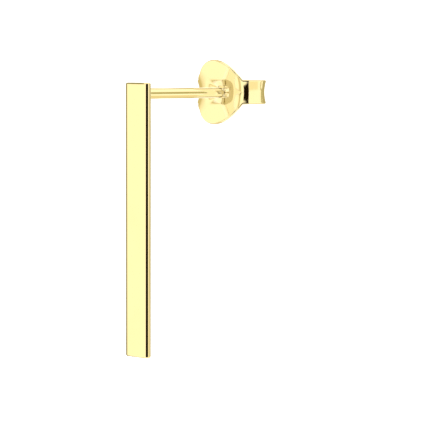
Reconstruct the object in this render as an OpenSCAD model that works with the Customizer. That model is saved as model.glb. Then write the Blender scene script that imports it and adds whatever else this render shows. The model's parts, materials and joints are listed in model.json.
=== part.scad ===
// Bar earring: a straight flat bar, an ear post soldered to its back, and a butterfly back on the post.
// Lengths are in millimetres. Each piece is drawn as it is worn and then laid down to rest on its side.
// As worn, X runs across the bar, Y runs back from the bar along the post, and Z runs up the bar.
// Y is 0 on the bar's back face, and X and Z are 0 on the post's axis.

/* [Bar] */
// Length of the bar, top to bottom
bar_length = 20; // [14:0.5:30]
// Width of the bar's front face
bar_width = 2.1; // [1.6:0.1:2.6]
// Thickness of the bar, front to back
bar_thickness = 0.66; // [0.62:0.02:0.9]
// Radius of the bar's rounded long edges
bar_edge = 0.29; // [0.1:0.01:0.3]
// Radius of the edges round the bar's two ends
end_edge = 0.12; // [0.05:0.01:0.2]

/* [Ear post] */
// Diameter of the post
post_diameter = 0.8; // [0.7:0.05:0.9]
// Length of the post behind the bar
post_length = 12; // [11.6:0.1:13]
// Depth of the post's axis below the bar's top end
post_drop = 0.8; // [0.7:0.05:3]
// Width of the solder collar round the foot of the post
collar_width = 0.12; // [0.05:0.01:0.2]
// Height of the solder collar
collar_height = 0.15; // [0.05:0.01:0.3]
// Distance that the friction notch starts ahead of the plate
notch_lead = 0.18; // [0.05:0.01:0.3]
// Length of the friction notch that the back grips in
notch_length = 0.9; // [0.7:0.05:1.1]
// Depth of the friction notch
notch_depth = 0.09; // [0.05:0.01:0.12]
// Radius of the dome on the post's tip
tip_radius = 0.55; // [0.45:0.01:0.9]

/* [Butterfly back] */
// Thickness of the sheet
sheet = 0.22; // [0.18:0.01:0.25]
// Height of the plate, along the bar
plate_height = 4.88; // [4.4:0.05:5.2]
// Width of the plate's outline before it is bent
plate_width = 4.28; // [4.1:0.02:4.5]
// Height of the two side tabs
tab_height = 1.84; // [1.6:0.02:2]
// Distance from the bar's back to the front of the plate at its middle
plate_gap = 9.71; // [9.5:0.01:9.9]
// Height of the back above the post's axis, within the play of its hole
plate_rise = 0.05; // [0:0.01:0.06]
// Slope that the plate's upper and lower lobes reach, rise over run
lobe_slope = 0.6; // [0.3:0.05:0.7]
// Half height of the rounded valley between the lobes
lobe_valley = 0.8; // [0.4:0.05:0.9]
// Slope of the flared edges of the rolled tabs, rise over run
roll_flare = 0.32; // [0.1:0.01:0.35]
// Flat half of the plate, from the post's axis to the fold
flat_length = 1.74; // [1.6:0.02:2]
// Radius of the fold at the middle of the sheet
fold_radius = 0.54; // [0.2:0.01:0.6]
// Angle of the fold
fold_angle = 70; // [60:1:74]
// Length of the tab between the fold and the roll
wall_length = 1.35; // [1.2:0.05:1.6]
// Gap between the roll and the post
roll_gap = 0.03; // [0.02:0.01:0.05]
// Straight stretch of the roll beside the post
grip_length = 0.2; // [0.1:0.05:0.3]
// Radius of the curled end of the roll
curl_radius = 0.5; // [0.4:0.05:0.6]
// Angle of the curled end of the roll
curl_angle = 40; // [20:5:50]
// Width of the pierced hole across its flats
hole_width = 1; // [0.92:0.02:1.06]
// Radius that the corners of the hole are kept within
hole_corner = 0.62; // [0.56:0.01:0.66]
// Half width of the pressed dimple round the hole
dimple_half_width = 1.25; // [1.1:0.05:1.3]
// Half height of the pressed dimple round the hole
dimple_half_height = 1; // [0.9:0.05:1.1]
// Depth of the pressed dimple
dimple_depth = 0.36; // [0.2:0.02:0.4]

/* [Hidden] */
$fn = 96;

gold = [0.93, 0.83, 0.5];
overlap = 0.2;
post_radius = post_diameter / 2;
notch_start = plate_gap - notch_lead;
notch_arc = (notch_length * notch_length / 4 + notch_depth * notch_depth) / (2 * notch_depth);

// Columns of a stretch of the strip: its length, how far it turns, and its number of steps
LENGTH = 0;
TURN = 1;
STEPS = 2;
// Columns of a station on the strip: the length run so far, its place across and behind, and its heading
RUN = 0;
ACROSS = 1;
BEHIND = 2;
HEADING = 3;

function arc_length(radius, angle) = radius * angle * PI / 180;

// The roll's radius follows from where the wall ends and where the post begins
plate_middle = plate_gap + sheet / 2;
start = [0, 0, plate_middle, 0];
plate_steps = [
    [flat_length, 0, 9],
    [arc_length(fold_radius, fold_angle), fold_angle, 6],
    [wall_length, 90 - fold_angle, 4],
];
half_plate = stretch_out(start, plate_steps);
wall_end = half_plate[len(half_plate) - 1];
grip_across = post_radius + roll_gap + sheet / 2;
roll_radius = (wall_end[ACROSS] - grip_across) / 2;
roll_steps = [
    [arc_length(roll_radius, 180), 180, 13],
    [grip_length, 0, 1],
    [arc_length(curl_radius, curl_angle), curl_angle, 3],
];
half_strip = concat([start], half_plate, stretch_out(wall_end, roll_steps));

// One step along a circular arc, or along a straight line where it doesn't turn
function moved_on(at, far, turn) =
    let (
        half = turn / 2,
        chord = turn == 0 ? far : far * sin(half) / (half * PI / 180),
        facing = at[HEADING] + half
    )
    [at[RUN] + far, at[ACROSS] + chord * cos(facing), at[BEHIND] + chord * sin(facing), at[HEADING] + turn];

function stepped(at, far, turn, steps) =
    steps == 0 ? [] : let (next = moved_on(at, far, turn))
    concat([next], stepped(next, far, turn, steps - 1));

function stretch_out(at, rows, row = 0) =
    row == len(rows) ? [] : let (
        r = rows[row],
        part = stepped(at, r[LENGTH] / r[STEPS], r[TURN] / r[STEPS], r[STEPS])
    )
    concat(part, stretch_out(part[len(part) - 1], rows, row + 1));

// Half the height of the blank at a distance from its middle: an oval plate with a straight tab each side
function half_height(run) =
    let (share = min(2 * run / plate_width, 1))
    max(plate_height / 2 * sqrt(1 - share * share), tab_height / 2);

function eased(share) = let (x = min(max(share, 0), 1)) x * x * (3 - 2 * x);

// The sheet is a saddle: its upper and lower edges lean away from the post's side of the rolls
function edge_slope(run) = lobe_slope + (roll_flare - lobe_slope) * eased(run - flat_length);
function saddle_arm(up) = sqrt(up * up + lobe_valley * lobe_valley);
function saddle(run, up) = edge_slope(run) * (saddle_arm(up) - lobe_valley);

// The dimple is a four-sided funnel with soft corners
function dimple(run, up) =
    let (
        corner = 5,
        floor_share = 0.42,
        across = pow(run / dimple_half_width, corner),
        along = pow(abs(up) / dimple_half_height, corner),
        reach = pow(across + along, 1 / corner)
    )
    dimple_depth * min(max((1 - reach) / (1 - floor_share), 0), 1);

// A point of the sheet, half a thickness out of (face 1) or into (face -1) the roll
function sheet_point(at, up, side, face) =
    let (
        out = [sin(at[HEADING]), -cos(at[HEADING])],
        offset = saddle(at[RUN], up) - dimple(at[RUN], up),
        slope = edge_slope(at[RUN]) * up / saddle_arm(up),
        skin = face * sheet / 2 / sqrt(1 + slope * slope)
    )
    [
        side * (at[ACROSS] + out[0] * (offset + skin)),
        at[BEHIND] + out[1] * (offset + skin),
        up - slope * skin + plate_rise
    ];

// The sheet's net: stations from the left roll's end to the right roll's end, with rows from bottom to top
net_rows = 14;
last_station = len(half_strip) - 1;
stations = [for (i = [-last_station : last_station]) [half_strip[abs(i)], i < 0 ? -1 : 1]];
net_columns = len(stations);
face_size = net_columns * (net_rows + 1);

function net_points(face) = [
    for (s = stations)
        let (half = half_height(s[0][RUN]))
        for (j = [0 : net_rows]) sheet_point(s[0], half * (2 * j / net_rows - 1), s[1], face)
];
function corner_of(i, j, inner) = i * (net_rows + 1) + j + (inner ? face_size : 0);
function both_halves(a, b, c, d) = [[a, b, c], [a, c, d]];

function outer_faces() = [
    for (i = [0 : net_columns - 2], j = [0 : net_rows - 1])
        each both_halves(corner_of(i, j, false), corner_of(i, j + 1, false),
            corner_of(i + 1, j + 1, false), corner_of(i + 1, j, false))
];
function inner_faces() = [
    for (i = [0 : net_columns - 2], j = [0 : net_rows - 1])
        each both_halves(corner_of(i, j, true), corner_of(i + 1, j, true),
            corner_of(i + 1, j + 1, true), corner_of(i, j + 1, true))
];
function long_rim(j, inner) = [
    for (i = [0 : net_columns - 2])
        each both_halves(corner_of(i, j, inner), corner_of(i + 1, j, inner),
            corner_of(i + 1, j, !inner), corner_of(i, j, !inner))
];
function end_rim(i, inner) = [
    for (j = [0 : net_rows - 1])
        each both_halves(corner_of(i, j, inner), corner_of(i, j, !inner),
            corner_of(i, j + 1, !inner), corner_of(i, j + 1, inner))
];
function rim_faces() = concat(
    long_rim(0, false), long_rim(net_rows, true), end_rim(0, false), end_rim(net_columns - 1, true)
);

// At rest the earring lies on the bar's long front edge and on the flared edges of one tab's wall.
// The floor is the common tangent of those two curves, so the angle between them and the post is the tilt.
wall_arc = wall_length / ((90 - fold_angle) * PI / 180);
flare = saddle(wall_end[RUN], tab_height / 2);
flare_slope = roll_flare * tab_height / 2 / saddle_arm(tab_height / 2);
tab_reach = flare + sheet / 2 / sqrt(1 + flare_slope * flare_slope);
edge_across = bar_width / 2 - bar_edge;
edge_behind = bar_edge - bar_thickness;
arc_across = wall_end[ACROSS] - wall_arc;
arc_behind = wall_end[BEHIND];
centre_rise = arc_across - edge_across;
centre_run = arc_behind - edge_behind;
radius_rise = wall_arc + tab_reach - bar_edge;
centre_gap = sqrt(centre_rise * centre_rise + centre_run * centre_run);
tilt = atan2(centre_rise, centre_run) + asin(radius_rise / centre_gap);
rest_height = edge_across * cos(tilt) - edge_behind * sin(tilt) + bar_edge;

// The origin is under the middle of the whole earring as it lies
lobe_tip_slope = lobe_slope * plate_height / 2 / saddle_arm(plate_height / 2);
lobe_lean = lobe_tip_slope / sqrt(1 + lobe_tip_slope * lobe_tip_slope);
lobe_top = plate_height / 2 + plate_rise + sheet / 2 * lobe_lean;
bar_bottom = post_drop - bar_length;
middle_along = (lobe_top + bar_bottom) / 2;
front_reach = edge_behind * cos(tilt) - edge_across * sin(tilt) - bar_edge;
roll_across = wall_end[ACROSS] - roll_radius;
back_reach = wall_end[BEHIND] * cos(tilt) + roll_across * sin(tilt) + roll_radius + tab_reach;
middle_behind = (front_reach + back_reach) / 2;

module laid_down() {
    translate([middle_along, -middle_behind, rest_height])
        rotate([tilt, 0, 0])
        rotate([0, -90, 0])
        children();
}

// A slab with round edges along Z
module round_slab(width, depth, height, edge) {
    inset_x = width / 2 - edge;
    inset_y = depth / 2 - edge;
    linear_extrude(height = height, center = true) {
        square([width, 2 * inset_y], center = true);
        square([2 * inset_x, depth], center = true);
        for (x = [-inset_x, inset_x], y = [-inset_y, inset_y]) translate([x, y]) circle(edge);
    }
}

module bar() {
    translate([0, -bar_thickness / 2, post_drop - bar_length / 2]) intersection() {
        round_slab(bar_width, bar_thickness, bar_length, bar_edge);
        rotate([90, 0, 0]) round_slab(bar_width, bar_length, bar_thickness, end_edge);
        rotate([0, 90, 0]) round_slab(bar_length, bar_thickness, bar_width, end_edge);
    }
}

// Half of the post's section: its foot in the bar, the solder collar, the notch and the domed tip
module post_section() {
    difference() {
        intersection() {
            translate([0, -overlap]) square([post_radius, post_length + overlap]);
            union() {
                translate([0, -overlap]) square([post_radius, post_length + overlap - tip_radius]);
                translate([0, post_length - tip_radius]) circle(tip_radius);
            }
        }
        translate([post_radius - notch_depth + notch_arc, notch_start + notch_length / 2]) circle(notch_arc);
    }
    polygon([[0, -overlap], [post_radius + collar_width, -overlap],
        [post_radius + collar_width, 0], [post_radius, collar_height], [0, collar_height]]);
}

module post() {
    rotate([-90, 0, 0]) rotate_extrude() post_section();
}

module bar_and_post() {
    color(gold) laid_down() {
        bar();
        post();
    }
}

module pierced_hole() {
    translate([0, plate_gap - overlap, plate_rise]) rotate([-90, 0, 0])
        linear_extrude(height = sheet + dimple_depth + 2 * overlap)
            intersection() {
                square(hole_width, center = true);
                circle(hole_corner);
            }
}

module butterfly_back() {
    color(gold) laid_down() difference() {
        polyhedron(points = concat(net_points(1), net_points(-1)),
            faces = concat(outer_faces(), inner_faces(), rim_faces()), convexity = 8);
        pierced_hole();
    }
}

bar_and_post();
butterfly_back();
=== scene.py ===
"""Visual model of a gold-plated bar earring with an ear post and a butterfly back.

Shapes are built as they are worn, in millimetres: x runs across the bar, y runs back from the bar along the
post, and z runs up the bar, with the middle of the bar's back face at the post's height as the origin. The
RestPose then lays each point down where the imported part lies, in metres.
"""

from __future__ import annotations

import json
import logging
import math
from collections.abc import Callable, Iterable, Sequence
from dataclasses import dataclass, field
from enum import Enum

import bpy
from mathutils import Matrix, Vector

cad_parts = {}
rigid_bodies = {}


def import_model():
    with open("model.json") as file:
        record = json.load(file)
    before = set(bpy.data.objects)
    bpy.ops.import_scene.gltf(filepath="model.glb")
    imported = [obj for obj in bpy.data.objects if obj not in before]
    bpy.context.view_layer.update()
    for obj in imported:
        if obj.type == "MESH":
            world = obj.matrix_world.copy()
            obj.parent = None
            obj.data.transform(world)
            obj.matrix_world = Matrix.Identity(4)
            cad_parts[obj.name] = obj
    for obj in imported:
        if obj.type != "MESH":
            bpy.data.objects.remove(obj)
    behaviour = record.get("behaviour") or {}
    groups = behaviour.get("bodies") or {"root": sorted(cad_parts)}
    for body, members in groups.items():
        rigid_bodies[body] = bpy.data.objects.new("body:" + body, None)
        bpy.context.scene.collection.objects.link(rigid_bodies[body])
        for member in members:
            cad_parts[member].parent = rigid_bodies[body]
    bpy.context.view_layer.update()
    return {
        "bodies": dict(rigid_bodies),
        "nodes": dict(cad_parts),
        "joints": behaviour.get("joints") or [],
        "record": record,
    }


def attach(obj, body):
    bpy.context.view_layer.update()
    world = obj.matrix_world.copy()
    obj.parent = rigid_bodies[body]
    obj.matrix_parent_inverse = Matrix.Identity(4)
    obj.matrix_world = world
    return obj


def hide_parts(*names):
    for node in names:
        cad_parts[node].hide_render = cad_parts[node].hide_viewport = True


LOG = logging.getLogger("bar_earring")
MM = 0.001
PHOTO_PIXELS = 440

# How far behind the bar the record puts the post's mount, in millimetres
MOUNT_DEPTH = 4.9

Socket = bpy.types.NodeSocket
Colour = tuple[float, float, float, float]

# The plating where it is even, where it is a little deeper, and where a rim is worn
GOLD: Colour = (1.0, 0.835, 0.43, 1.0)
DEEP_GOLD: Colour = (1.0, 0.81, 0.395, 1.0)
WORN_GOLD: Colour = (1.0, 0.86, 0.5, 1.0)

# The Ray Depth of light that the gold mirrors once, as the paper's material and as the world count it
PAPER_DEPTH = 1.0
TENT_DEPTH = 2.0

# How many further mirrorings have their tint made up for with painted light, and how much light the painted
# shade leaves in a deep hollow
PAINTED_RELIGHT_TIMES = 1.6
PAINTED_HOLLOW_SHADE = 0.33


class Body(Enum):
    """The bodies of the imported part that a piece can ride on."""

    EARRING = "earring"
    BACK = "back"


class Slot(Enum):
    """The material slots that the part's record names."""

    BAR = "plated_bar"
    BACK = "plated_back"


class Side(Enum):
    """A side of the butterfly back, as the sign of its place across the bar."""

    LEFT = -1
    RIGHT = 1


class Facing(Enum):
    """Where the angles round the bar are measured from."""

    FRONT = "front"
    BEHIND = "behind"


# Where the earring lies


@dataclass(frozen=True)
class RestPose:
    """Where the worn earring's axes and origin lie once it is laid on its side.

    Attributes:
        origin: The worn origin in the part's frame, in metres.
        across: The worn x axis as a direction in the part's frame.
        behind: The worn y axis.
        up: The worn z axis.
    """

    origin: Vector
    across: Vector
    behind: Vector
    up: Vector

    @classmethod
    def read(cls, frame: dict, mount_depth: float) -> RestPose:
        """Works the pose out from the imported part's sliding joint and post mount.

        Args:
            mount_depth: How far behind the bar the post's mount is, in millimetres.

        Returns:
            The pose of the part at rest.
        """
        behind = Vector(frame["joints"][0]["axis"]).normalized()
        mount = next(m for m in frame["record"]["mounts"] if m["name"] == "ear_post")
        up = Vector((-1.0, 0.0, 0.0))
        across = behind.cross(up).normalized()
        return cls(Vector(mount["pos_m"]) - behind * mount_depth * MM, across, behind, up)

    def turn(self, direction: Sequence[float]) -> Vector:
        """Gives a worn direction in the part's frame.

        Args:
            direction: Three numbers along the worn axes.

        Returns:
            The same direction in the part's frame.
        """
        return self.across * direction[0] + self.behind * direction[1] + self.up * direction[2]

    def place(self, point: Sequence[float]) -> Vector:
        """Gives a worn point in the part's frame.

        Args:
            point: The worn place in millimetres.

        Returns:
            The place in the part's frame, in metres.
        """
        return self.origin + self.turn(point) * MM


# Shader helpers


class NodeDesk:
    """Adds and links nodes in one node tree."""

    def __init__(self, tree: bpy.types.NodeTree) -> None:
        """Takes the tree to work in.

        Args:
            tree: The material's, world's or group's node tree.
        """
        self.tree = tree

    def add(self, kind: str, **settings: object) -> bpy.types.Node:
        """Adds a node.

        Args:
            kind: The node's type name.
            **settings: Properties to set on the node.

        Returns:
            The new node.
        """
        node = self.tree.nodes.new(kind)
        for name, value in settings.items():
            setattr(node, name, value)
        return node

    def feed(self, socket: Socket, source: object) -> None:
        """Links an output to a socket, or sets the socket's own value.

        Args:
            socket: The input socket.
            source: An output socket, a number, or a colour or vector.
        """
        if isinstance(source, Socket):
            self.tree.links.new(source, socket)
        else:
            socket.default_value = source

    def maths(self, operation: str, *sources: object) -> Socket:
        """Adds a Math node.

        Args:
            operation: The operation's name.
            *sources: One to three numbers or output sockets.

        Returns:
            The node's output.
        """
        node = self.add("ShaderNodeMath", operation=operation)
        for socket, source in zip(node.inputs, sources):
            self.feed(socket, source)
        return node.outputs[0]

    def dot(self, vector: Socket, axis: Sequence[float]) -> Socket:
        """Adds a dot product with a fixed direction.

        Args:
            vector: The vector's output socket.
            axis: The fixed direction.

        Returns:
            The node's value output.
        """
        node = self.add("ShaderNodeVectorMath", operation="DOT_PRODUCT")
        self.feed(node.inputs[0], vector)
        self.feed(node.inputs[1], tuple(axis))
        return node.outputs["Value"]

    def ease(
        self, value: object, low: float, high: float, to_low: float = 0.0, to_high: float = 1.0
    ) -> Socket:
        """Maps a range to another with a smooth step.

        Args:
            value: The value's output socket.
            low: Where the step begins.
            high: Where the step ends.
            to_low: The result at and below low.
            to_high: The result at and above high.

        Returns:
            The stepped value.
        """
        node = self.add("ShaderNodeMapRange", interpolation_type="SMOOTHSTEP")
        for name, source in (
            ("Value", value),
            ("From Min", low),
            ("From Max", high),
            ("To Min", to_low),
            ("To Max", to_high),
        ):
            self.feed(node.inputs[name], source)
        return node.outputs["Result"]

    def noise(self, vector: object, scale: object, detail: float) -> Socket:
        """Adds a Noise Texture.

        Args:
            vector: The place's output socket.
            scale: How fine the noise is, as a scale per metre.
            detail: How many finer layers lie on it.

        Returns:
            The noise, from 0 to 1.
        """
        node = self.add("ShaderNodeTexNoise")
        for name, source in (("Vector", vector), ("Scale", scale), ("Detail", detail)):
            self.feed(node.inputs[name], source)
        return node.outputs["Fac"]

    def bump(self, height: Socket, depth: float) -> Socket:
        """Adds a Bump node.

        Args:
            height: The relief, from 0 to 1.
            depth: The relief's depth in metres.

        Returns:
            The bumped normal.
        """
        node = self.add("ShaderNodeBump")
        for name, source in (("Strength", 1.0), ("Distance", depth), ("Height", height)):
            self.feed(node.inputs[name], source)
        return node.outputs["Normal"]

    def mix(self, factor: object, first: object, second: object) -> Socket:
        """Mixes two colours.

        Args:
            factor: The share of the second colour.
            first: A colour or output socket.
            second: A colour or output socket.

        Returns:
            The mixed colour.
        """
        node = self.add("ShaderNodeMix", data_type="RGBA")
        for index, source in ((0, factor), (6, first), (7, second)):
            self.feed(node.inputs[index], source)
        return node.outputs[2]


def painted_relight(desk: NodeDesk, light: object, extra: Socket) -> Socket:
    """Paints light that makes up for the tint that gold gives to light each further time it mirrors it.

    The gold that is matched is made even by this painted light, so that metal seen in metal isn't any redder
    than the rest.
    Light that has gone round a hollow between folds, reflected three times or more, is painted dim and warm:
    a painted shade in the hollows.

    Args:
        desk: The desk of the light's material or world.
        light: The light's colour.
        extra: How many more times than once it is mirrored.

    Returns:
        The light's new colour.
    """
    gain = desk.add("ShaderNodeCombineXYZ")
    more = desk.maths("MINIMUM", desk.maths("MAXIMUM", extra, 0.0), PAINTED_RELIGHT_TIMES)
    # Painted shade: light that has gone round a deep hollow is dimmed
    deep = desk.ease(extra, 1.5, 2.5, 1.0, PAINTED_HOLLOW_SHADE)
    for socket, share in zip(gain.inputs, GOLD):
        desk.feed(socket, desk.maths("MULTIPLY", desk.maths("POWER", 1 / share, more), deep))
    node = desk.add("ShaderNodeVectorMath", operation="MULTIPLY")
    desk.feed(node.inputs[0], gain.outputs["Vector"])
    desk.feed(node.inputs[1], light)
    return node.outputs["Vector"]


@dataclass
class EffectGroup:
    """A shader node group that several materials place with their own values.

    Attributes:
        name: The group's name.
        inputs: The inputs' names, socket types and starting values.
        outputs: The outputs' names and socket types.
        wire: Fills the group and gives the output sockets by name.
        tree: The group's node tree, once it is made.
    """

    name: str
    inputs: dict[str, tuple[str, object]]
    outputs: dict[str, str]
    wire: Callable[[NodeDesk, bpy.types.Node], dict[str, Socket]]
    tree: bpy.types.NodeTree | None = None

    def build(self) -> bpy.types.NodeTree:
        """Makes the group once.

        Returns:
            The group's node tree.
        """
        if self.tree is None:
            self.tree = bpy.data.node_groups.new(self.name, "ShaderNodeTree")
            face = self.tree.interface
            for name, (kind, value) in self.inputs.items():
                socket = face.new_socket(name=name, in_out="INPUT", socket_type=kind)
                if value is not None:
                    socket.default_value = value
            for name, kind in self.outputs.items():
                face.new_socket(name=name, in_out="OUTPUT", socket_type=kind)
            desk = NodeDesk(self.tree)
            source = desk.add("NodeGroupInput")
            result = desk.add("NodeGroupOutput")
            for name, socket in self.wire(desk, source).items():
                desk.feed(result.inputs[name], socket)
        return self.tree

    def place(self, desk: NodeDesk, **values: object) -> bpy.types.Node:
        """Places the group in a material.

        Args:
            desk: The material's desk.
            **values: What each input is set or linked to, with spaces in its name as underscores.

        Returns:
            The group node.
        """
        node = desk.add("ShaderNodeGroup", node_tree=self.build())
        for name, value in values.items():
            desk.feed(node.inputs[name.replace("_", " ")], value)
        return node


def wire_buffing(desk: NodeDesk, source: bpy.types.Node) -> dict[str, Socket]:
    """Fills the group for the soft waves and fine marks that a buffing wheel leaves.

    Args:
        desk: The group's desk.
        source: The group's input node.

    Returns:
        The group's output sockets by name.
    """
    marks = desk.noise(source.outputs["Vector"], source.outputs["Mark Scale"], detail=3.0)
    waves = desk.noise(source.outputs["Vector"], source.outputs["Wave Scale"], detail=1.0)
    fine = desk.maths("MULTIPLY", marks, source.outputs["Mark Depth"])
    return {"Height": desk.maths("ADD", fine, waves)}


def wire_handling(desk: NodeDesk, source: bpy.types.Node) -> dict[str, Socket]:
    """Fills the group for the faint film and cloth marks of a piece that has been handled.

    Args:
        desk: The group's desk.
        source: The group's input node.

    Returns:
        The group's output sockets by name.
    """
    film = desk.noise(source.outputs["Vector"], source.outputs["Film Scale"], detail=4.0)
    patch = desk.ease(film, 0.42, 0.7)
    spread = desk.maths("SUBTRACT", source.outputs["Dull"], source.outputs["Bright"])
    rough = desk.maths("MULTIPLY_ADD", patch, spread, source.outputs["Bright"])
    worn = desk.maths("MULTIPLY", source.outputs["Rim"], source.outputs["Rim Shine"])
    kept = desk.maths("SUBTRACT", 1.0, worn)
    return {"Roughness": desk.maths("MULTIPLY", rough, kept)}


def wire_plating(desk: NodeDesk, source: bpy.types.Node) -> dict[str, Socket]:
    """Fills the group for the plating's colour: even, deeper in patches and paler on worn rims.

    Args:
        desk: The group's desk.
        source: The group's input node.

    Returns:
        The group's output sockets by name.
    """
    cloud = desk.noise(source.outputs["Vector"], source.outputs["Cloud Scale"], detail=2.0)
    deeper = desk.maths("MULTIPLY", desk.ease(cloud, 0.45, 0.75), source.outputs["Clouding"])
    body = desk.mix(deeper, source.outputs["Gold"], source.outputs["Deep Gold"])
    pale = desk.maths("MULTIPLY", source.outputs["Rim"], source.outputs["Rim Wear"])
    return {"Color": desk.mix(pale, body, source.outputs["Worn Gold"])}


VECTOR = "NodeSocketVector"
VALUE = "NodeSocketFloat"
COLOUR = "NodeSocketColor"

BUFFING = EffectGroup(
    "buffing_marks",
    {
        "Vector": (VECTOR, None),
        "Mark Scale": (VALUE, 9000.0),
        "Mark Depth": (VALUE, 0.08),
        "Wave Scale": (VALUE, 400.0),
    },
    {"Height": VALUE},
    wire_buffing,
)
HANDLING = EffectGroup(
    "handling_film",
    {
        "Vector": (VECTOR, None),
        "Film Scale": (VALUE, 700.0),
        "Bright": (VALUE, 0.05),
        "Dull": (VALUE, 0.1),
        "Rim": (VALUE, 0.0),
        "Rim Shine": (VALUE, 0.3),
    },
    {"Roughness": VALUE},
    wire_handling,
)
PLATING = EffectGroup(
    "plating_tone",
    {
        "Vector": (VECTOR, None),
        "Gold": (COLOUR, GOLD),
        "Deep Gold": (COLOUR, DEEP_GOLD),
        "Worn Gold": (COLOUR, WORN_GOLD),
        "Cloud Scale": (VALUE, 300.0),
        "Clouding": (VALUE, 0.4),
        "Rim": (VALUE, 0.0),
        "Rim Wear": (VALUE, 0.5),
    },
    {"Color": COLOUR},
    wire_plating,
)


# Finishes


@dataclass(frozen=True)
class GoldPlate:
    """Yellow gold plate over polished silver.

    Attributes:
        name: The material's name.
        bright: Roughness where the polish is clean.
        dull: Roughness where it carries a film.
        waves: The size of the polishing waves, as a scale per metre.
        relief: The depth of the polishing marks in metres.
    """

    name: str
    bright: float
    dull: float
    waves: float
    relief: float

    def make(self) -> bpy.types.Material:
        """Builds the material.

        Returns:
            The node material.
        """
        material = bpy.data.materials.new(self.name)
        material.use_nodes = True
        desk = NodeDesk(material.node_tree)
        shader = material.node_tree.nodes["Principled BSDF"]
        where = desk.add("ShaderNodeTexCoord").outputs["Object"]
        rim = desk.add("ShaderNodeAttribute", attribute_name="rim").outputs["Fac"]
        tone = PLATING.place(desk, Vector=where, Rim=rim)
        film = HANDLING.place(desk, Vector=where, Bright=self.bright, Dull=self.dull, Rim=rim)
        marks = BUFFING.place(desk, Vector=where, Wave_Scale=self.waves)
        desk.feed(shader.inputs["Base Color"], tone.outputs["Color"])
        desk.feed(shader.inputs["Roughness"], film.outputs["Roughness"])
        desk.feed(shader.inputs["Normal"], desk.bump(marks.outputs["Height"], self.relief))
        desk.feed(shader.inputs["Metallic"], 1.0)
        return material


@dataclass(frozen=True)
class FloorPaper:
    """A plain white sheet with a fine grain, overexposed to pure white as it is in the photograph.

    What the polished gold mirrors of the sheet is painted light and painted shade, set apart from how the
    camera sees it: the sheet takes no real light there, and its emission is painted bright in front of the
    bar and of the plate, with a painted contact shadow at the bar's foot and painted shade behind each of
    them and beyond the bar's top end.

    Attributes:
        name: The material's name.
        shade: The sheet's colour.
        glow: How much the sheet is overexposed to the camera.
        rough: The sheet's roughness.
        painted_shades: The painted light and painted shade that the gold mirrors, at millimetres back from
            the frame's middle.
        painted_corner_shade: The painted shade that it mirrors beyond the bar's top end.
        painted_corner_edges: That painted shade's edges: the axis, where each begins and ends in millimetres,
            and whether
        the painted shade, as 1, lies below it.
        grain_scale: The grain's size, as a scale per metre.
        grain_depth: The grain's depth in metres.
    """

    name: str = "floor_paper"
    shade: Colour = (0.5, 0.5, 0.5, 1.0)
    glow: Colour = (0.9, 0.9, 0.9, 1.0)
    rough: float = 0.9
    painted_shades: tuple[tuple[float, Colour], ...] = (
        (-6.85, (1.18, 1.2, 1.15, 1.0)),
        (-6.62, (0.34, 0.33, 0.22, 1.0)),
        (-6.3, (0.34, 0.33, 0.22, 1.0)),
        (-6.0, (0.75, 0.7, 0.5, 1.0)),
        (-1.6, (0.75, 0.7, 0.5, 1.0)),
        (-0.3, (1.2, 1.2, 1.15, 1.0)),
        (2.5, (1.2, 1.2, 1.15, 1.0)),
        (3.6, (0.68, 0.6, 0.38, 1.0)),
        (9.0, (0.75, 0.68, 0.46, 1.0)),
    )
    painted_corner_shade: Colour = (0.34, 0.33, 0.22, 1.0)
    painted_corner_edges: tuple[tuple[str, float, float, float], ...] = (
        ("X", -11.1, -10.8, 0.0),
        ("X", -9.22, -9.12, 1.0),
        ("Y", -4.0, -2.0, 1.0),
    )
    grain_scale: float = 2500.0
    grain_depth: float = 1e-6

    def make(self) -> bpy.types.Material:
        """Builds the material.

        Returns:
            The node material.
        """
        material = bpy.data.materials.new(self.name)
        material.use_nodes = True
        desk = NodeDesk(material.node_tree)
        shader = material.node_tree.nodes["Principled BSDF"]
        where = desk.add("ShaderNodeTexCoord").outputs["Object"]
        path = desk.add("ShaderNodeLightPath")
        seen = path.outputs["Is Camera Ray"]
        grain = desk.noise(where, self.grain_scale, detail=2.0)
        light = self.painted_mirror_light(desk, where, path.outputs["Ray Depth"])
        desk.feed(shader.inputs["Normal"], desk.bump(grain, self.grain_depth))
        # In what the gold mirrors the sheet takes no real light; the painted emission below stands in for it
        desk.feed(shader.inputs["Base Color"], desk.mix(seen, (0.0, 0.0, 0.0, 1.0), self.shade))
        desk.feed(shader.inputs["Roughness"], self.rough)
        desk.feed(shader.inputs["Specular IOR Level"], 0.0)
        # Painted emission: painted light and painted shade where the gold mirrors the sheet, and an even
        # overexposed white for the camera
        desk.feed(shader.inputs["Emission Color"], desk.mix(seen, light, self.glow))
        desk.feed(shader.inputs["Emission Strength"], 1.0)
        return material

    def painted_mirror_light(self, desk: NodeDesk, where: Socket, depth: Socket) -> Socket:
        """Gives the painted light and painted shade that the gold mirrors at each place of the sheet.

        Args:
            desk: The material's desk.
            where: The place's output socket.
            depth: The Ray Depth output socket.

        Returns:
            The painted light as a colour.
        """
        place = desk.add("ShaderNodeSeparateXYZ")
        desk.feed(place.inputs["Vector"], where)
        # Painted light and painted shade in steps back along Y: bright in front of the bar, a painted contact
        # shadow at its foot, painted shade behind the bar, bright again, and painted shade behind the plate
        light: object = self.painted_shades[0][1]
        for (begin, _), (end, shade) in zip(self.painted_shades, self.painted_shades[1:]):
            light = desk.mix(desk.ease(place.outputs["Y"], begin * MM, end * MM), light, shade)
        # Painted shade on the sheet beyond the bar's top end
        corner: object = 1.0
        for axis, begin, end, below in self.painted_corner_edges:
            edge = desk.ease(place.outputs[axis], begin * MM, end * MM, below, 1.0 - below)
            corner = desk.maths("MULTIPLY", corner, edge)
        extra = desk.maths("SUBTRACT", depth, PAPER_DEPTH)
        return painted_relight(desk, desk.mix(corner, light, self.painted_corner_shade), extra)


# Mesh helpers


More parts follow.
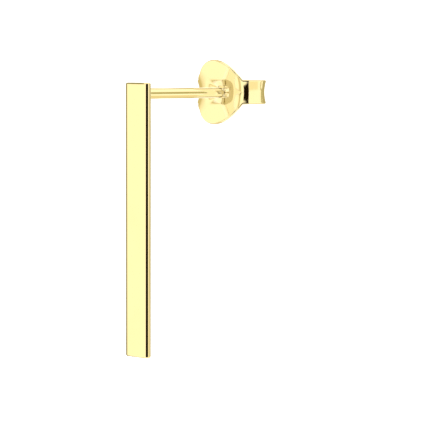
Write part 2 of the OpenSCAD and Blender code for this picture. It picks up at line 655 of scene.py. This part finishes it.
@dataclass
class Shape:
    """A mesh in the making, in worn millimetres.

    Attributes:
        points: The vertices.
        faces: Each face's vertex numbers.
        rims: How much of a worn rim each vertex is, from 0 to 1.
        normals: The surface normals at the vertices, where they are known exactly.
    """

    points: list[Vector] = field(default_factory=list)
    faces: list[tuple[int, ...]] = field(default_factory=list)
    rims: list[float] = field(default_factory=list)
    normals: list[Vector] = field(default_factory=list)

    def put(self, point: Vector, rim: float = 0.0) -> int:
        """Adds a vertex.

        Args:
            point: Its place.
            rim: How much of a worn rim it is.

        Returns:
            The vertex's number.
        """
        self.points.append(point)
        self.rims.append(rim)
        return len(self.points) - 1

    def make(self, name: str, pose: RestPose, material: bpy.types.Material) -> bpy.types.Object:
        """Makes the shape an object in the part's frame.

        Args:
            name: The object's name.
            pose: Where the earring lies.
            material: The finish.

        Returns:
            The new object, smooth shaded.
        """
        mesh = bpy.data.meshes.new(name)
        mesh.from_pydata([pose.place(p) for p in self.points], [], self.faces)
        mesh.polygons.foreach_set("use_smooth", [True] * len(mesh.polygons))
        mesh.attributes.new("rim", "FLOAT", "POINT").data.foreach_set("value", self.rims)
        mesh.materials.append(material)
        mesh.update()
        if self.normals:
            mesh.normals_split_custom_set_from_vertices([pose.turn(n) for n in self.normals])
        piece = bpy.data.objects.new(name, mesh)
        bpy.context.scene.collection.objects.link(piece)
        return piece


def even_steps(low: float, high: float, count: int) -> list[float]:
    """Spaces numbers evenly.

    Args:
        low: The first number.
        high: The last number.
        count: How many steps lie between them.

    Returns:
        The count + 1 numbers.
    """
    return [low + (high - low) * i / count for i in range(count + 1)]


def soft_ramp(share: float, softness: float) -> float:
    """Rises from 0 to 1 as share does, with rounded bends at both ends.

    Args:
        share: The place on the ramp.
        softness: The size of the bends.

    Returns:
        The ramp's height.
    """
    rise = math.hypot(share, softness) - math.hypot(share - 1.0, softness)
    return (rise + 1.0) / 2.0


def smooth_step(share: float) -> float:
    """Gives the smooth step from 0 to 1 of a number kept within 0 and 1."""
    x = min(max(share, 0.0), 1.0)
    return x * x * (3.0 - 2.0 * x)


# The bar and its post


@dataclass
class FlatBar:
    """The polished bar: flat wire with round long edges, cut square and broken at its ends.

    Attributes:
        length: Top to bottom.
        width: Across the front face.
        thickness: Front to back.
        edge: Radius of the long edges.
        end_edge: Radius of the edges round the two ends.
        drop: Depth of the post's axis below the top end.
        edge_steps: Facets round each long edge.
        end_steps: Facets round each end's edge.
        spans: Steps along the straight part of the bar.
    """

    length: float = 20.0
    width: float = 2.1
    thickness: float = 0.66
    edge: float = 0.29
    end_edge: float = 0.12
    drop: float = 0.8
    edge_steps: int = 14
    end_steps: int = 8
    spans: int = 40

    def section(self) -> list[tuple[Vector, Vector]]:
        """Walks round the bar's section.

        Returns:
            Places on the section's outline with their outward normals.
        """
        across, deep = self.width / 2 - self.edge, self.thickness / 2 - self.edge
        walk = []
        for quarter, (x, y) in enumerate(((1, 1), (-1, 1), (-1, -1), (1, -1))):
            for turn in even_steps(90.0 * quarter, 90.0 * (quarter + 1), self.edge_steps):
                out = Vector((math.cos(math.radians(turn)), math.sin(math.radians(turn)), 0.0))
                walk.append((Vector((x * across, y * deep, 0.0)) + out * self.edge, out))
        return walk

    def levels(self) -> list[tuple[float, float, float]]:
        """Lists the section's levels from the bar's bottom to its top.

        Returns:
            Each level's height, how far the section is drawn in there, and its slope's angle.
        """
        half = self.length / 2
        end = []
        for sweep in even_steps(0.0, 90.0, self.end_steps):
            turn = math.radians(sweep)
            rise = half - self.end_edge * (1 - math.cos(turn))
            end.append((rise, self.end_edge * (1 - math.sin(turn)), math.pi / 2 - turn))
        straight = even_steps(-end[-1][0], end[-1][0], self.spans)[1:-1]
        bottom = [(-rise, inset, -slope) for rise, inset, slope in end]
        return bottom + [(rise, 0.0, 0.0) for rise in straight] + end[::-1]

    def shape(self) -> Shape:
        """Lofts the section along the bar and closes both ends.

        Returns:
            The bar's shape with exact normals.
        """
        made = Shape()
        middle = Vector((0.0, -self.thickness / 2, self.drop - self.length / 2))
        section = self.section()
        rings = []
        for rise, inset, slope in self.levels():
            ring = []
            for place, out in section:
                spot = middle + place - out * inset + Vector((0.0, 0.0, rise))
                ring.append(made.put(spot, rim=abs(slope) / (math.pi / 2)))
                facing = out * math.cos(slope) + Vector((0.0, 0.0, math.sin(slope)))
                made.normals.append(facing.normalized())
            rings.append(ring)
        count = len(section)
        for low, high in zip(rings, rings[1:]):
            for k in range(count):
                after = (k + 1) % count
                made.faces.append((low[k], low[after], high[after], high[k]))
        made.faces += [tuple(reversed(rings[0])), tuple(rings[-1])]
        return made


@dataclass
class EarPost:
    """The round post, from its solder collar to its domed tip.

    Attributes:
        radius: The wire's radius.
        length: Its length behind the bar.
        root: How far its foot reaches into the bar.
        collar: How far the solder spreads from the wire, and how high it climbs.
        notch: Where the friction notch starts, its length and its depth.
        dome: Radius of the tip's dome.
        sides: Facets round the wire.
    """

    radius: float = 0.4
    length: float = 12.0
    root: float = 0.1
    collar: tuple[float, float] = (0.12, 0.15)
    notch: tuple[float, float, float] = (9.53, 0.9, 0.09)
    dome: float = 0.55
    sides: int = 72

    def profile(self) -> list[tuple[float, float, float]]:
        """Draws half of the post's section.

        Returns:
            Points from the foot to the tip: radius, distance behind the bar, and rim wear.
        """
        spread, climb = self.collar
        line = [(self.radius + spread, -self.root, 0.0)]
        for sweep in even_steps(0.0, math.pi / 2, 6):
            wide = self.radius + spread * (1 - math.sin(sweep))
            line.append((wide, climb * (1 - math.cos(sweep)), 0.0))
        start, long, deep = self.notch
        line += [(self.radius, d, 0.0) for d in even_steps(climb, start, 24)[1:]]
        arc = (long * long / 4 + deep * deep) / (2 * deep)
        for along in even_steps(0.0, long, 14)[1:]:
            sag = arc - math.sqrt(arc * arc - (along - long / 2) ** 2)
            line.append((self.radius - deep + sag, start + along, 0.4))
        shoulder = math.asin(self.radius / self.dome)
        centre = self.length - self.dome
        dome_start = centre + self.dome * math.cos(shoulder)
        line += [(self.radius, d, 0.0) for d in even_steps(start + long, dome_start, 6)[1:]]
        for sweep in even_steps(shoulder, 0.0, 8)[1:]:
            line.append((self.dome * math.sin(sweep), centre + self.dome * math.cos(sweep), 1.0))
        return line

    def shape(self) -> Shape:
        """Turns the section round the post's axis.

        Returns:
            The post's shape.
        """
        made = Shape()
        rings: list[list[int]] = []
        for radius, behind, rim in self.profile():
            if radius < 1e-6:
                rings.append([made.put(Vector((0.0, behind, 0.0)), rim)])
                continue
            turns = (2 * math.pi * k / self.sides for k in range(self.sides))
            spots = [Vector((radius * math.cos(t), behind, -radius * math.sin(t))) for t in turns]
            rings.append([made.put(spot, rim) for spot in spots])
        for low, high in zip(rings, rings[1:]):
            for k in range(self.sides):
                after = (k + 1) % self.sides
                if len(high) == 1:
                    made.faces.append((low[k], low[after], high[0]))
                else:
                    made.faces.append((low[k], low[after], high[after], high[k]))
        made.faces.append(tuple(reversed(rings[0])))
        return made


@dataclass
class Earring:
    """The soldered half of the earring: the bar with its post.

    Attributes:
        bar: The bar.
        post: The post.
        bar_finish: The bar's polish.
        post_finish: The wire's.
    """

    bar: FlatBar = field(default_factory=FlatBar)
    post: EarPost = field(default_factory=EarPost)
    bar_finish: GoldPlate = GoldPlate(
        "polished_gold_bar", bright=0.035, dull=0.06, waves=260.0, relief=0.5e-6
    )
    post_finish: GoldPlate = GoldPlate(
        "drawn_gold_wire", bright=0.06, dull=0.1, waves=500.0, relief=0.8e-6
    )

    def build(self, pose: RestPose) -> list[bpy.types.Object]:
        """Builds and dresses the bar and the post.

        Args:
            pose: Where the earring lies.

        Returns:
            The finished pieces.
        """
        bar = self.bar.shape().make("bar", pose, self.bar_finish.make())
        post = self.post.shape().make("ear_post", pose, self.post_finish.make())
        for piece in (bar, post):
            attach(piece, Body.EARRING.value)
            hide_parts("bar_and_post")
        return [bar, post]


# The butterfly back


@dataclass(frozen=True)
class Station:
    """A place on the bent strip's middle line, seen from above the bar's top end.

    Attributes:
        run: Length of strip from the plate's middle.
        across: Distance from the post's axis.
        behind: Distance behind the bar.
        heading: The strip's direction in degrees, 0 across and 90 straight back.
    """

    run: float
    across: float
    behind: float
    heading: float

    def moved(self, far: float, turn: float) -> Station:
        """Goes on along a circular arc, or a straight line where it doesn't turn.

        Args:
            far: Length of the stretch.
            turn: How far it turns, in degrees.

        Returns:
            The station at its end.
        """
        half = math.radians(turn / 2)
        chord = far if abs(half) < 1e-9 else far * math.sin(half) / half
        facing = math.radians(self.heading) + half
        return Station(
            self.run + far,
            self.across + chord * math.cos(facing),
            self.behind + chord * math.sin(facing),
            self.heading + turn,
        )


@dataclass
class ButterflyBack:
    """The back: one pressed sheet with an oval plate and two rolled tabs, in millimetres and degrees.

    Attributes:
        sheet: Thickness of the sheet.
        plate_height: Height of the plate, along the bar.
        plate_width: Width of the plate's outline before it is bent.
        tab_height: Height of the two tabs.
        plate_gap: Distance from the bar's back to the front of the plate at its middle.
        plate_rise: Height of the back above the post's axis.
        lobe_slope: Slope that the plate's upper and lower lobes reach.
        lobe_valley: Half height of the rounded valley between the lobes.
        roll_flare: Slope of the flared edges of the rolled tabs.
        flat_length: Flat half of the plate, from the post's axis to the fold.
        fold_radius: Radius of the fold.
        fold_angle: Angle of the fold.
        wall_length: Length of the tab between the fold and the roll.
        post_radius: Radius of the post between the rolls.
        roll_gap: Gap between the roll and the post.
        grip_length: Straight stretch of the roll beside the post.
        curl_radius: Radius of the curled end of the roll.
        curl_angle: Angle of the curled end of the roll.
        hole_width: Width of the pierced hole across its flats.
        hole_corner: Radius that the corners of the hole are kept within.
        dimple_half_width: Half width of the pressed dimple.
        dimple_half_height: Half height of the pressed dimple.
        dimple_depth: Depth of the pressed dimple.
        dimple_floor: Where the dimple's slope ends inwards, as a share of its half sizes.
        dimple_softness: How rounded the slope's two bends are.
        dimple_squareness: The exponent of its outline: 2 is an oval, and more is squarer.
        dimple_end: Where its slope has run out, as a share of its half sizes.
        rim_inset: How far the sheet's rim is rounded in.
        rim_fullness: The exponent of the rounded rim: 1 is half an oval, and less is squarer.
        rim_turns: The angles of the rim's points, from the front face to the back face.
        tab_corner: Radius of the tab's corners.
        corner_turns: The angles of the columns round a tab's corner.
        collar_run: Half width of the net's collar round the hole.
        rows: Rows of the net across a tab.
        collar_columns: Columns of the net across the collar.
        collar_rings: Rings of the net round the hole.
        ring_ease: How much the rings crowd towards the hole.
        tab_columns: Columns from the collar to the fold, on to the tab, to the wall and to the corner.
        finish: The sheet's polish.
    """

    sheet: float = 0.22
    plate_height: float = 4.88
    plate_width: float = 4.28
    tab_height: float = 1.84
    plate_gap: float = 9.71
    plate_rise: float = 0.05
    lobe_slope: float = 0.6
    lobe_valley: float = 0.8
    roll_flare: float = 0.32
    flat_length: float = 1.74
    fold_radius: float = 0.54
    fold_angle: float = 70.0
    wall_length: float = 1.35
    post_radius: float = 0.4
    roll_gap: float = 0.03
    grip_length: float = 0.2
    curl_radius: float = 0.5
    curl_angle: float = 40.0
    hole_width: float = 1.0
    hole_corner: float = 0.62
    dimple_half_width: float = 1.25
    dimple_half_height: float = 1.0
    dimple_depth: float = 0.36
    dimple_floor: float = 0.42
    dimple_softness: float = 0.16
    dimple_squareness: float = 5.0
    dimple_end: float = 2.0
    rim_inset: float = 0.07
    rim_fullness: float = 2 / 2.8
    rim_turns: tuple[float, ...] = (62.0, 36.0, 12.0, -12.0, -36.0, -62.0)
    tab_corner: float = 0.12
    corner_turns: tuple[float, ...] = (25.0, 45.0, 62.0, 76.0, 90.0)
    collar_run: float = 1.4
    rows: int = 20
    collar_columns: int = 28
    collar_rings: int = 20
    ring_ease: float = 0.25
    tab_columns: tuple[int, ...] = (6, 5, 8, 60)
    finish: GoldPlate = GoldPlate(
        "pressed_gold_sheet", bright=0.09, dull=0.14, waves=600.0, relief=1.4e-6
    )

    def __post_init__(self) -> None:
        """Works out the stretches of the strip's middle line."""
        wall = [
            (self.flat_length, 0.0),
            (self.fold_radius * math.radians(self.fold_angle), self.fold_angle),
            (self.wall_length, 90.0 - self.fold_angle),
        ]
        at = self.start = Station(0.0, 0.0, self.plate_gap + self.sheet / 2, 0.0)
        for far, turn in wall:
            at = at.moved(far, turn)
        grip_across = self.post_radius + self.roll_gap + self.sheet / 2
        roll_radius = (at.across - grip_across) / 2
        self.stretches = wall + [
            (roll_radius * math.pi, 180.0),
            (self.grip_length, 0.0),
            (self.curl_radius * math.radians(self.curl_angle), self.curl_angle),
        ]
        self.strip_end = sum(far for far, _ in self.stretches)

    def station(self, run: float) -> Station:
        """Finds the station at a length of strip from the middle.

        Args:
            run: The length, 0 or more.

        Returns:
            The station there.
        """
        at = self.start
        for far, turn in self.stretches:
            if run <= at.run + far + 1e-9:
                part = (run - at.run) / far
                return at.moved(part * far, part * turn)
            at = at.moved(far, turn)
        return at

    def half_height(self, run: float) -> float:
        """Gives half the blank's height: oval plate, straight tab and round corner.

        Args:
            run: The distance along the strip.

        Returns:
            Half the height there.
        """
        share = min(2 * run / self.plate_width, 1.0)
        half = max(self.plate_height / 2 * math.sqrt(1 - share * share), self.tab_height / 2)
        past = run - (self.strip_end - self.tab_corner)
        if past > 0:
            half -= self.tab_corner - math.sqrt(max(self.tab_corner**2 - past**2, 0.0))
        return half

    def offset(self, run: float, up: float) -> float:
        """Gives how far the sheet stands out of its middle line: the saddle less the dimple.

        Args:
            run: The distance along the strip.
            up: The height on the strip.

        Returns:
            The distance out of the roll.
        """
        blend = smooth_step(run - self.flat_length)
        slope = self.lobe_slope + (self.roll_flare - self.lobe_slope) * blend
        saddle = slope * (math.hypot(up, self.lobe_valley) - self.lobe_valley)
        power = self.dimple_squareness
        wide, tall = run / self.dimple_half_width, abs(up) / self.dimple_half_height
        reach = (wide**power + tall**power) ** (1 / power)
        if reach > self.dimple_end:
            return saddle
        ramp, rest = (
            soft_ramp((1 - share) / (1 - self.dimple_floor), self.dimple_softness)
            for share in (reach, self.dimple_end)
        )
        return saddle - self.dimple_depth * (ramp - rest)

    def middle(self, run: float, up: float) -> Vector:
        """Gives a point of the sheet's middle surface.

        Args:
            run: The distance along the strip, negative to the left.
            up: The height on the strip.

        Returns:
            The worn place in millimetres.
        """
        at = self.station(abs(run))
        heading = math.radians(at.heading)
        out = self.offset(abs(run), up)
        across = at.across + math.sin(heading) * out
        beside = math.copysign(across, run) if run else 0.0
        return Vector((beside, at.behind - math.cos(heading) * out, up + self.plate_rise))

    def normal(self, run: float, up: float) -> Vector:
        """Gives the middle surface's normal, out of the roll, from its slopes.

        Args:
            run: The distance along the strip.
            up: The height on the strip.

        Returns:
            The unit normal.
        """
        step = 0.01
        end = self.strip_end
        low, high = max(run - step, -end), min(run + step, end)
        along = self.middle(high, up) - self.middle(low, up)
        rising = self.middle(run, up + step) - self.middle(run, up - step)
        return along.cross(rising).normalized()

    def hole_reach(self, turn: float) -> float:
        """Gives the pierced hole's radius in a direction.

        Args:
            turn: The direction's angle in radians.

        Returns:
            The distance from the middle to the hole's edge.
        """
        flat = self.hole_width / 2 / max(abs(math.cos(turn)), abs(math.sin(turn)))
        return min(flat, self.hole_corner)

    def collar_outline(self) -> list[tuple[float, float]]:
        """Walks round the collar that holds the hole, from its lower right corner and upwards.

        Returns:
            The outline's places on the flat blank.
        """
        tall = self.half_height(self.collar_run)
        right = [(self.collar_run, tall * f) for f in even_steps(-1, 1, self.rows)[:-1]]
        runs = even_steps(self.collar_run, -self.collar_run, self.collar_columns)[:-1]
        top = [(run, self.half_height(abs(run))) for run in runs]
        return right + top + [(-r, -u) for r, u in right] + [(-r, -u) for r, u in top]

    def tab_runs(self) -> list[float]:
        """Gives the places of the tab's columns, closer where the sheet bends more.

        Returns:
            Distances along the strip, from the collar's side to the strip's end.
        """
        join = self.plate_width / 2 * math.sqrt(1 - (self.tab_height / self.plate_height) ** 2)
        fold_end = self.flat_length + self.fold_radius * math.radians(self.fold_angle)
        corner = self.strip_end - self.tab_corner
        marks = (self.collar_run, self.flat_length, join, fold_end, corner)
        runs = [self.collar_run]
        for low, high, columns in zip(marks, marks[1:], self.tab_columns):
            runs += even_steps(low, high, columns)[1:]
        return runs + [corner + self.tab_corner * math.sin(math.radians(a)) for a in self.corner_turns]

    def blank(self) -> tuple[list[tuple[float, float]], list[tuple[int, int, int, int]]]:
        """Nets the flat blank: a collar of rings round the hole, and a tab on each side.

        Returns:
            The net's places on the blank and its faces.
        """
        spots: list[tuple[float, float]] = []
        numbers: dict[tuple[float, float], int] = {}

        def number(spot: tuple[float, float]) -> int:
            """Gives a spot its number, the same for the same place."""
            key = (round(spot[0], 6), round(spot[1], 6))
            if key not in numbers:
                numbers[key] = len(spots)
                spots.append(spot)
            return numbers[key]

        outline = self.collar_outline()
        rings = []
        for share in even_steps(0.0, 1.0, self.collar_rings):
            eased = share * (1 - self.ring_ease + self.ring_ease * share)
            ring = []
            for run, up in outline:
                far = math.hypot(run, up)
                reach = self.hole_reach(math.atan2(up, run))
                scale = (reach + (far - reach) * eased) / far
                ring.append(number((run * scale, up * scale)))
            rings.append(ring)
        faces = []
        for inner, outer in zip(rings, rings[1:]):
            for k in range(len(outline)):
                after = (k + 1) % len(outline)
                faces.append((inner[k], outer[k], outer[after], inner[after]))
        fractions = even_steps(-1, 1, self.rows)
        for side in Side:
            columns = []
            for run in self.tab_runs():
                tall = self.half_height(run)
                columns.append([number((side.value * run, tall * f)) for f in fractions])
            for near, far in zip(columns, columns[1:]):
                for j in range(self.rows):
                    face = (near[j], far[j], far[j + 1], near[j + 1])
                    faces.append(face if side is Side.RIGHT else tuple(reversed(face)))
        return spots, faces

    def shape(self) -> Shape:
        """Bends and thickens the blank, and rounds its rims.

        Returns:
            The back's shape.
        """
        spots, faces = self.blank()
        middles = [self.middle(*spot) for spot in spots]
        normals = [self.normal(*spot) for spot in spots]
        after: dict[int, int] = {}
        directed = {(f[k], f[(k + 1) % 4]) for f in faces for k in range(4)}
        for low, high in directed:
            if (high, low) not in directed:
                after[low] = high
        before = {high: low for low, high in after.items()}
        outward = {}
        for v in after:
            along = middles[after[v]] - middles[before[v]]
            outward[v] = along.cross(normals[v]).normalized()
        made = Shape()
        half = self.sheet / 2
        front, back = {}, {}
        for v, (place, normal) in enumerate(zip(middles, normals)):
            inner = place - outward[v] * self.rim_inset if v in outward else place
            front[v] = made.put(inner + normal * half, rim=0.5 if v in outward else 0.0)
            back[v] = made.put(inner - normal * half, rim=0.5 if v in outward else 0.0)
        made.faces += [tuple(front[v] for v in f) for f in faces]
        made.faces += [tuple(back[v] for v in reversed(f)) for f in faces]
        rounds = {v: self.rim_round(made, middles[v], normals[v], outward[v]) for v in after}
        for v, following in after.items():
            here = [front[v], *rounds[v], back[v]]
            there = [front[following], *rounds[following], back[following]]
            for k in range(len(here) - 1):
                made.faces.append((here[k], here[k + 1], there[k + 1], there[k]))
        return made

    def rim_round(self, made: Shape, place: Vector, normal: Vector, outward: Vector) -> list[int]:
        """Adds the rounded rim's points at one place, from the front face to the back face.

        Args:
            made: The shape that takes the points.
            place: The place on the middle surface.
            normal: The surface's normal.
            outward: The direction out of the sheet's edge.

        Returns:
            The points' numbers.
        """
        numbers = []
        for turn in self.rim_turns:
            cos, sin = math.cos(math.radians(turn)), math.sin(math.radians(turn))
            out = self.rim_inset * (abs(cos) ** self.rim_fullness - 1.0)
            side = self.sheet / 2 * math.copysign(abs(sin) ** self.rim_fullness, sin)
            numbers.append(made.put(place + outward * out + normal * side, rim=1.0))
        return numbers

    def build(self, pose: RestPose) -> list[bpy.types.Object]:
        """Builds and dresses the back.

        Args:
            pose: Where the earring lies.

        Returns:
            The finished piece, in a list.
        """
        back = self.shape().make("butterfly_clutch", pose, self.finish.make())
        smooth = back.modifiers.new("smooth", "SUBSURF")
        smooth.levels = smooth.render_levels = 1
        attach(back, Body.BACK.value)
        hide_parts("butterfly_back")
        return [back]


# The studio


@dataclass
class PhotoCamera:
    """The camera, placed from the worn earring's side as the photograph shows it.

    Attributes:
        round_deg: How far round it stands from straight in front of the bar.
        above_deg: How far above the post's plane it stands.
        roll_deg: How far it is rolled.
        distance: Its distance in millimetres.
        aside: How far its axis passes beside and above the worn origin, in millimetres.
        focal_pixels: Its focal length in pixels of the photograph.
        sensor: The width of its film, in millimetres.
        clip: The nearest and farthest that it sees, in metres.
    """

    round_deg: float = 36.5
    above_deg: float = 5.03
    roll_deg: float = 0.235
    distance: float = 122.97
    aside: tuple[float, float] = (5.70, -9.138)
    focal_pixels: float = 1700.0
    sensor: float = 36.0
    clip: tuple[float, float] = (0.01, 10.0)

    def axes(self) -> tuple[Vector, Vector, Vector]:
        """Works out the camera's right, up and backward axes along the worn axes.

        Returns:
            The three unit vectors.
        """
        a, p, r = (math.radians(x) for x in (self.round_deg, self.above_deg, self.roll_deg))
        toward = Vector((math.sin(a) * math.cos(p), -math.cos(a) * math.cos(p), math.sin(p)))
        right = (-toward).cross(Vector((0.0, 0.0, 1.0))).normalized()
        up = right.cross(-toward)
        return (
            right * math.cos(r) + up * math.sin(r),
            up * math.cos(r) - right * math.sin(r),
            toward,
        )

    def build(self, pose: RestPose) -> bpy.types.Object:
        """Makes the camera and gives it to the scene.

        Args:
            pose: Where the earring lies.

        Returns:
            The camera object.
        """
        right, up, toward = self.axes()
        place = right * self.aside[0] + up * self.aside[1] + toward * self.distance
        data = bpy.data.cameras.new("photo_camera")
        data.sensor_width = self.sensor
        data.lens = self.focal_pixels * self.sensor / PHOTO_PIXELS
        data.clip_start, data.clip_end = self.clip
        camera = bpy.data.objects.new("photo_camera", data)
        bpy.context.scene.collection.objects.link(camera)
        turned = Matrix([pose.turn(v) for v in (right, up, toward)]).transposed()
        camera.matrix_world = Matrix.Translation(pose.place(place)) @ turned.to_4x4()
        bpy.context.scene.camera = camera
        return camera


@dataclass(frozen=True)
class TentPatch:
    """A part of the tent with its own colour, with soft edges.

    Attributes:
        colour: The patch's light.
        sides: Its two sides in degrees round the bar, and the softness of both.
        ends: Its ends as heights along the bar, from -1 to 1, and their softness.
        measured_from: Where the sides are measured from.
    """

    colour: tuple[float, float, float]
    sides: tuple[float, float, float]
    ends: tuple[float, float, float]
    measured_from: Facing = Facing.FRONT

    def cover(self, desk: NodeDesk, angles: dict[Facing, Socket], height: Socket) -> Socket:
        """Gives 1 on the patch and 0 beside it.

        Args:
            desk: The world's desk.
            angles: The angle round the bar, measured from each place.
            height: The height along the bar.

        Returns:
            The cover's output socket.
        """
        beside = self.window(desk, angles[self.measured_from], *self.sides)
        return desk.maths("MULTIPLY", beside, self.window(desk, height, *self.ends))

    @staticmethod
    def window(desk: NodeDesk, value: Socket, low: float, high: float, blur: float) -> Socket:
        """Gives 1 where a value lies between two limits and 0 elsewhere, with soft edges.

        Args:
            desk: The world's desk.
            value: The value's output socket.
            low: The lower limit.
            high: The upper limit.
            blur: The width of the soft edges.

        Returns:
            The window's output socket.
        """
        rise = desk.ease(value, low - blur / 2, low + blur / 2)
        fall = desk.ease(value, high - blur / 2, high + blur / 2, 1.0, 0.0)
        return desk.maths("MULTIPLY", rise, fall)


@dataclass(frozen=True)
class Studio:
    """A white floor under a soft white tent, with a tall dark gap in the tent and a dim seam behind.

    Attributes:
        tent: The tent's light.
        patches: The parts of the tent with their own light: a warm panel beside the bar, the shade low
            behind it, the dim seam behind in three lengths, and the gap that shows the dark room.
        painted_metal_light: The painted light on metal that is seen in metal.
        paper: The floor's material.
        paper_reach: How far the paper reaches to each side, in metres.
        box_place: Where the soft box hangs, in metres.
        box_size: The soft box's diameter in metres.
        box_watts: Its power.
    """

    tent: tuple[float, float, float] = (1.2, 1.2, 1.2)
    patches: tuple[TentPatch, ...] = (
        TentPatch((1.02, 0.96, 0.78), (101.0, 131.0, 8.0), (-0.5, -0.12, 0.12)),
        TentPatch((0.9, 0.82, 0.6), (-35.0, 40.0, 8.0), (-0.75, -0.44, 0.08), Facing.BEHIND),
        TentPatch((0.5, 0.46, 0.3), (-10.0, 32.5, 3.0), (-0.3, 0.31, 0.06), Facing.BEHIND),
        TentPatch((0.5, 0.48, 0.28), (33.5, 39.5, 2.0), (-0.13, 0.3, 0.05), Facing.BEHIND),
        TentPatch((0.55, 0.53, 0.33), (38.5, 42.0, 2.0), (-0.3, -0.1, 0.03), Facing.BEHIND),
        TentPatch((0.01, 0.004, 0.0), (28.4, 99.5, 2.0), (-0.56, 0.6, 0.12)),
    )
    painted_metal_light: tuple[float, float, float] = (1.1, 1.06, 0.9)
    paper: FloorPaper = FloorPaper()
    paper_reach: float = 1.5
    box_place: tuple[float, float, float] = (-0.0395, -0.3947, 0.2125)
    box_size: float = 0.25
    box_watts: float = 3.0

    def build(self, pose: RestPose) -> list[bpy.types.Object]:
        """Makes the tent, the soft box and the floor.

        Args:
            pose: Where the earring lies.

        Returns:
            The floor, in a list.
        """
        self.hang_tent(pose)
        self.hang_box()
        return [self.lay_floor()]

    def hang_tent(self, pose: RestPose) -> None:
        """Makes the world's light: a white tent with its patches, and a painted light, even and untinted,
        between the metal parts.

        Args:
            pose: Where the earring lies.
        """
        world = bpy.data.worlds.new("soft_tent")
        world.use_nodes = True
        bpy.context.scene.world = world
        desk = NodeDesk(world.node_tree)
        where = desk.add("ShaderNodeTexCoord").outputs["Generated"]
        side = desk.dot(where, pose.across)
        ahead = {Facing.FRONT: -pose.behind, Facing.BEHIND: pose.behind}
        angles = {
            facing: desk.maths("DEGREES", desk.maths("ARCTAN2", side, desk.dot(where, way)))
            for facing, way in ahead.items()
        }
        height = desk.dot(where, pose.up)
        light: object = (*self.tent, 1.0)
        for patch in self.patches:
            light = desk.mix(patch.cover(desk, angles, height), light, (*patch.colour, 1.0))
        # Rays that metal has mirrored more than once see painted light in place of the tent
        depth = desk.add("ShaderNodeLightPath").outputs["Ray Depth"]
        extra = desk.maths("SUBTRACT", depth, TENT_DEPTH)
        twice = desk.maths("GREATER_THAN", extra, 0.5)
        source = world.node_tree.nodes["Background"]
        desk.feed(source.inputs["Color"], desk.mix(twice, light, painted_relight(desk, self.painted_metal_light, extra)))
        desk.feed(source.inputs["Strength"], 1.0)

    def hang_box(self) -> None:
        """Hangs a round soft box in front, which lights the paper and doesn't show in the gold."""
        data = bpy.data.lights.new("front_box", "AREA")
        data.shape = "DISK"
        data.size = self.box_size
        data.energy = self.box_watts
        lamp = bpy.data.objects.new("front_box", data)
        lamp.location = self.box_place
        lamp.rotation_mode = "QUATERNION"
        lamp.rotation_quaternion = Vector(self.box_place).to_track_quat("Z", "Y")
        lamp.visible_glossy = False
        bpy.context.scene.collection.objects.link(lamp)

    def lay_floor(self) -> bpy.types.Object:
        """Lays the white paper that the earring rests on.

        Returns:
            The floor object.
        """
        mesh = bpy.data.meshes.new("floor")
        far = self.paper_reach
        mesh.from_pydata([(-far, -far, 0), (far, -far, 0), (far, far, 0), (-far, far, 0)], [], [(0, 1, 2, 3)])
        mesh.materials.append(self.paper.make())
        floor = bpy.data.objects.new("floor", mesh)
        bpy.context.scene.collection.objects.link(floor)
        return floor


# Putting it together


def main() -> None:
    """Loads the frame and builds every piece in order."""
    logging.basicConfig(level=logging.INFO, format="%(name)s: %(message)s")
    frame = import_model()
    pose = RestPose.read(frame, MOUNT_DEPTH)
    PhotoCamera().build(pose)
    for part in (Earring(), ButterflyBack()):
        for piece in part.build(pose):
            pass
    for piece in Studio().build(pose):
        LOG.info("%s is part of the studio", piece.name)
    bpy.context.scene.view_settings.view_transform = "Standard"


if __name__ == "__main__":
    main()
